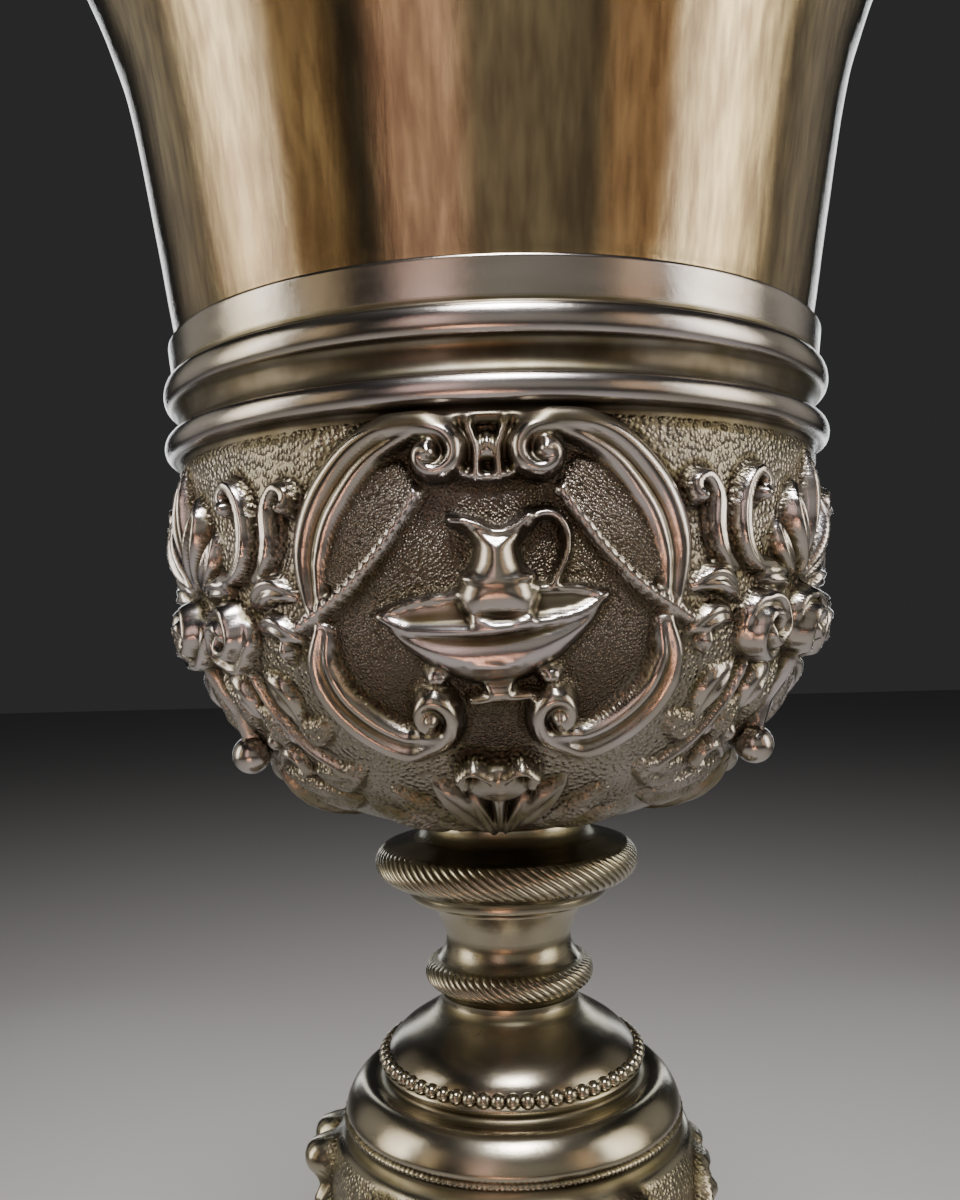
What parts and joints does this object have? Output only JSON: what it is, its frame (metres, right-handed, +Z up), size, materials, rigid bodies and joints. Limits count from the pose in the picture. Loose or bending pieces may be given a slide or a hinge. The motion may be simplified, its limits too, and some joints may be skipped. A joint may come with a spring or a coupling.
{
  "type": "chalice",
  "caption": "Silver chalice with a gilt cup in a relief calyx, on a baluster knop and a domed relief foot; holds wine and stands by its own weight.",
  "frame": {"origin": "centre of the foot's underside", "axes": "+Z up along the stem; -Y is the side with the ewer medallion that faces the picture's camera; +X to the viewer's right"},
  "size_m": [0.1466, 0.1466, 0.295],
  "materials": {
    "silver": "worn polished silver, brown tarnish in the hollows of the relief",
    "gilt": "worn gilding on silver, warm brown tarnish, fine vertical scratches"
  },
  "bodies": {
    "root": {"foot": "silver", "foot_collar": "silver", "lower_spool": "silver", "knop": "silver", "neck_spool": "silver", "collar": "gilt", "calyx": "silver", "cup": "gilt"}
  },
  "joints": []
}
